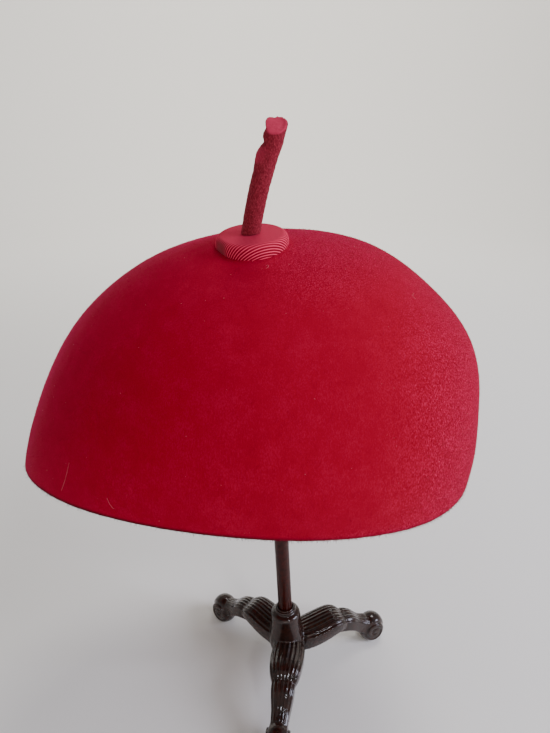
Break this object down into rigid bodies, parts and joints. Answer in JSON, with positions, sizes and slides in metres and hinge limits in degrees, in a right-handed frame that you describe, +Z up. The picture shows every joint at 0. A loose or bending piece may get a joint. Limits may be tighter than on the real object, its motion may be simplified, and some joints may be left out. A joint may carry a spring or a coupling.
{
  "type": "felt hat on a tripod hat stand",
  "caption": "Domed felt hat with no brim, a ribbed cloth button and a felt stalk, resting on a small cast tripod hat stand with a steel rod.",
  "frame": {"origin": "on the floor under the middle of the whole object's box", "axes": "+Z up, +X to the right as the picture sees it, along the hat's long side, +Y away from the picture's viewer"},
  "size_m": [0.2124, 0.1668, 0.3084],
  "materials": {
    "red_felt": "blocked wool felt with a short nap",
    "ribbed_cloth": "ribbed cloth, soft sheen",
    "rolled_felt": "rolled felt, matt",
    "plain_wood": "plain turned wood",
    "brown_lacquered_steel": "glossy lacquer",
    "black_brown_enamel": "glossy enamel on a casting"
  },
  "bodies": {
    "root": {"felt_crown": "red_felt", "ribbed_button": "ribbed_cloth", "felt_stalk": "rolled_felt", "stand_cap": "plain_wood", "stand_rod": "brown_lacquered_steel", "stand_base": "black_brown_enamel"}
  },
  "joints": []
}
